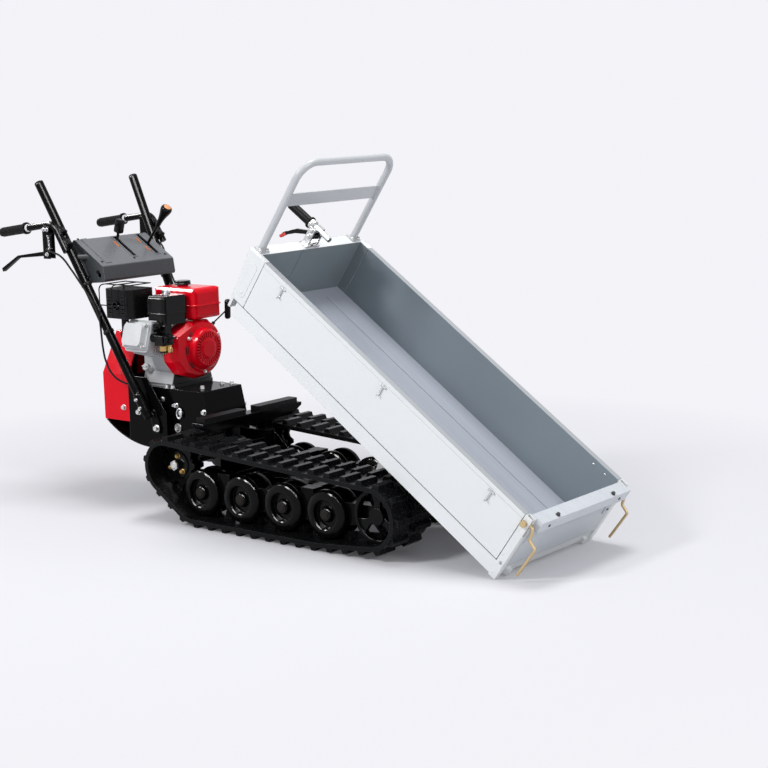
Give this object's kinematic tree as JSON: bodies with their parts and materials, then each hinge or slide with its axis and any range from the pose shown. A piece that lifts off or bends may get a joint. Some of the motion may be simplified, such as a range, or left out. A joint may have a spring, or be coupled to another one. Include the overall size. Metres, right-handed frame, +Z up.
{
  "type": "tracked power carrier",
  "caption": "Walk-behind tracked power carrier with a small petrol engine, raised tipping bed with drop tailgate, twin handlebars and clutch levers.",
  "frame": {"origin": "On the ground under the middle of the bounding box", "axes": "+X towards the tipping end, +Y to the driver's left, +Z up"},
  "size_m": [2.3067, 0.628, 1.1932],
  "materials": {
    "black_paint": "gloss black paint",
    "wheel_black": "satin black paint",
    "track_rubber": "matt moulded rubber",
    "red_paint": "gloss red paint",
    "white_paint": "semi-gloss white paint",
    "grey_sheet": "satin grey paint",
    "steel": "plated steel",
    "cast_alloy": "raw casting",
    "gear_iron": "painted casting",
    "black_plastic": "moulded plastic",
    "console_plastic": "moulded grey plastic",
    "muffler_black": "heat-proof black paint",
    "gold_plate": "yellow zinc plate",
    "pad_rubber": "matt rubber"
  },
  "bodies": {
    "carrier": {"chassis_frame": "black_paint", "pivot_shaft": "steel", "gearbox_cover": "black_paint", "transaxle": "gear_iron", "rear_housing": "black_paint", "belt_cover": "red_paint", "drive_belt": "pad_rubber", "bed_rest_beam": "black_paint", "rest_pads": "pad_rubber", "track_beam_l": "black_paint", "track_beam_r": "black_paint", "track_l": "track_rubber", "track_r": "track_rubber", "engine_block": "cast_alloy", "rocker_cover": "cast_alloy", "fan_cover": "red_paint", "fuel_tank": "red_paint", "air_cleaner": "black_plastic", "muffler": "muffler_black", "muffler_guard": "muffler_black", "carburettor": "cast_alloy", "starter_grip": "black_plastic", "handle_tubes": "black_paint", "handlebar_l": "black_paint", "handlebar_r": "black_paint", "hand_grips": "pad_rubber", "console_shell": "console_plastic", "control_cables": "pad_rubber"},
    "bed": {"bed_base": "white_paint", "bed_floor": "grey_sheet", "side_panel_l": "white_paint", "side_panel_r": "white_paint", "headboard": "white_paint", "guard_rail": "steel", "rope_hooks": "steel", "release_bracket": "steel", "release_grip": "pad_rubber"},
    "release": {"release_lever": "black_plastic"},
    "gate": {"tailgate": "grey_sheet"},
    "latch_left": {"latch_l": "gold_plate"},
    "latch_right": {"latch_r": "gold_plate"},
    "cap": {"fuel_cap": "black_plastic"},
    "crank_pulley": {"drive_pulley": "steel"},
    "input_pulley": {"driven_pulley": "steel"},
    "lever_left": {"hand_lever_l": "black_plastic"},
    "lever_right": {"hand_lever_r": "black_plastic"},
    "speed": {"speed_lever": "black_plastic"},
    "throttle": {"throttle_lever": "black_plastic"},
    "sprocket_left": {"sprocket_l": "wheel_black"},
    "sprocket_right": {"sprocket_r": "wheel_black"},
    "idler_left": {"idler_l": "wheel_black"},
    "idler_right": {"idler_r": "wheel_black"},
    "roller_left_1": {"road_wheel_l1": "wheel_black"},
    "roller_left_2": {"road_wheel_l2": "wheel_black"},
    "roller_left_3": {"road_wheel_l3": "wheel_black"},
    "roller_left_4": {"road_wheel_l4": "wheel_black"},
    "roller_right_1": {"road_wheel_r1": "wheel_black"},
    "roller_right_2": {"road_wheel_r2": "wheel_black"},
    "roller_right_3": {"road_wheel_r3": "wheel_black"},
    "roller_right_4": {"road_wheel_r4": "wheel_black"}
  },
  "joints": [
    {"name": "bed_tip", "type": "hinge", "parent": "carrier", "child": "bed", "pos_m": [0.47, 0, 0.2113], "axis": [0, 1, 0], "range_deg": [-35, 0]},
    {"name": "release_pull", "type": "hinge", "parent": "bed", "child": "release", "pos_m": [0.12733, 0, 0.9371], "axis": [0, 1, 0], "range_deg": [0, 16], "stiffness_Nm_per_rad": 2, "springref_deg": -20.05},
    {"name": "gate_drop", "type": "hinge", "parent": "bed", "child": "gate", "pos_m": [1.02263, 0, 0.05385], "axis": [0, 1, 0], "range_deg": [0, 55]},
    {"name": "latch_turn_left", "type": "hinge", "parent": "bed", "child": "latch_left", "pos_m": [1.10572, 0.251, 0.18123], "axis": [0, 1, 0], "range_deg": [-90, 0]},
    {"name": "latch_turn_right", "type": "hinge", "parent": "bed", "child": "latch_right", "pos_m": [1.10572, -0.251, 0.18123], "axis": [0, 1, 0], "range_deg": [-90, 0]},
    {"name": "cap_turn", "type": "hinge", "parent": "carrier", "child": "cap", "pos_m": [-0.515, 0.034, 0.7463], "axis": [0, 0, 1], "range_deg": [0, 90]},
    {"name": "crank_spin", "type": "hinge", "parent": "carrier", "child": "crank_pulley", "pos_m": [-0.704, 0.01, 0.5343], "axis": [1, 0, 0], "continuous": true},
    {"name": "input_spin", "type": "hinge", "parent": "carrier", "child": "input_pulley", "pos_m": [-0.704, 0.01, 0.3523], "axis": [1, 0, 0], "continuous": true},
    {"name": "grip_squeeze_left", "type": "hinge", "parent": "carrier", "child": "lever_left", "pos_m": [-0.893, 0.23, 0.862], "axis": [0, 1, 0], "range_deg": [0, 13], "stiffness_Nm_per_rad": 6, "springref_deg": -8.59},
    {"name": "grip_squeeze_right", "type": "hinge", "parent": "carrier", "child": "lever_right", "pos_m": [-0.893, -0.23, 0.862], "axis": [0, 1, 0], "range_deg": [0, 13], "stiffness_Nm_per_rad": 6, "springref_deg": -8.59},
    {"name": "speed_shift", "type": "hinge", "parent": "carrier", "child": "speed", "pos_m": [-0.79, 0.122, 0.838], "axis": [0, 1, 0], "range_deg": [-25, 25]},
    {"name": "throttle_set", "type": "hinge", "parent": "carrier", "child": "throttle", "pos_m": [-0.79, 0.012, 0.838], "axis": [0, 1, 0], "range_deg": [0, 60]},
    {"name": "sprocket_spin_left", "type": "hinge", "parent": "carrier", "child": "sprocket_left", "pos_m": [-0.287, 0.224, 0.1853], "axis": [0, 1, 0], "continuous": true},
    {"name": "roller_spin_left_1", "type": "hinge", "parent": "carrier", "child": "roller_left_1", "pos_m": [-0.171, 0.224, 0.1063], "axis": [0, 1, 0], "continuous": true},
    {"name": "roller_spin_left_2", "type": "hinge", "parent": "carrier", "child": "roller_left_2", "pos_m": [0.009, 0.224, 0.1063], "axis": [0, 1, 0], "continuous": true},
    {"name": "roller_spin_left_3", "type": "hinge", "parent": "carrier", "child": "roller_left_3", "pos_m": [0.189, 0.224, 0.1063], "axis": [0, 1, 0], "continuous": true},
    {"name": "roller_spin_left_4", "type": "hinge", "parent": "carrier", "child": "roller_left_4", "pos_m": [0.369, 0.224, 0.1063], "axis": [0, 1, 0], "continuous": true},
    {"name": "idler_spin_left", "type": "hinge", "parent": "carrier", "child": "idler_left", "pos_m": [0.577, 0.224, 0.1303], "axis": [0, 1, 0], "continuous": true},
    {"name": "sprocket_spin_right", "type": "hinge", "parent": "carrier", "child": "sprocket_right", "pos_m": [-0.287, -0.224, 0.1853], "axis": [0, 1, 0], "continuous": true},
    {"name": "roller_spin_right_1", "type": "hinge", "parent": "carrier", "child": "roller_right_1", "pos_m": [-0.171, -0.224, 0.1063], "axis": [0, 1, 0], "continuous": true},
    {"name": "roller_spin_right_2", "type": "hinge", "parent": "carrier", "child": "roller_right_2", "pos_m": [0.009, -0.224, 0.1063], "axis": [0, 1, 0], "continuous": true},
    {"name": "roller_spin_right_3", "type": "hinge", "parent": "carrier", "child": "roller_right_3", "pos_m": [0.189, -0.224, 0.1063], "axis": [0, 1, 0], "continuous": true},
    {"name": "roller_spin_right_4", "type": "hinge", "parent": "carrier", "child": "roller_right_4", "pos_m": [0.369, -0.224, 0.1063], "axis": [0, 1, 0], "continuous": true},
    {"name": "idler_spin_right", "type": "hinge", "parent": "carrier", "child": "idler_right", "pos_m": [0.577, -0.224, 0.1303], "axis": [0, 1, 0], "continuous": true}
  ],
  "couplings": [
    {"joint": "crank_spin", "follows": "input_spin", "ratio": 1.9187},
    {"joint": "roller_spin_left_1", "follows": "sprocket_spin_left", "ratio": 0.9745},
    {"joint": "roller_spin_left_2", "follows": "sprocket_spin_left", "ratio": 0.9745},
    {"joint": "roller_spin_left_3", "follows": "sprocket_spin_left", "ratio": 0.9745},
    {"joint": "roller_spin_left_4", "follows": "sprocket_spin_left", "ratio": 0.9745},
    {"joint": "idler_spin_left", "follows": "sprocket_spin_left", "ratio": 0.9051},
    {"joint": "roller_spin_right_1", "follows": "sprocket_spin_right", "ratio": 0.9745},
    {"joint": "roller_spin_right_2", "follows": "sprocket_spin_right", "ratio": 0.9745},
    {"joint": "roller_spin_right_3", "follows": "sprocket_spin_right", "ratio": 0.9745},
    {"joint": "roller_spin_right_4", "follows": "sprocket_spin_right", "ratio": 0.9745},
    {"joint": "idler_spin_right", "follows": "sprocket_spin_right", "ratio": 0.9051}
  ]
}
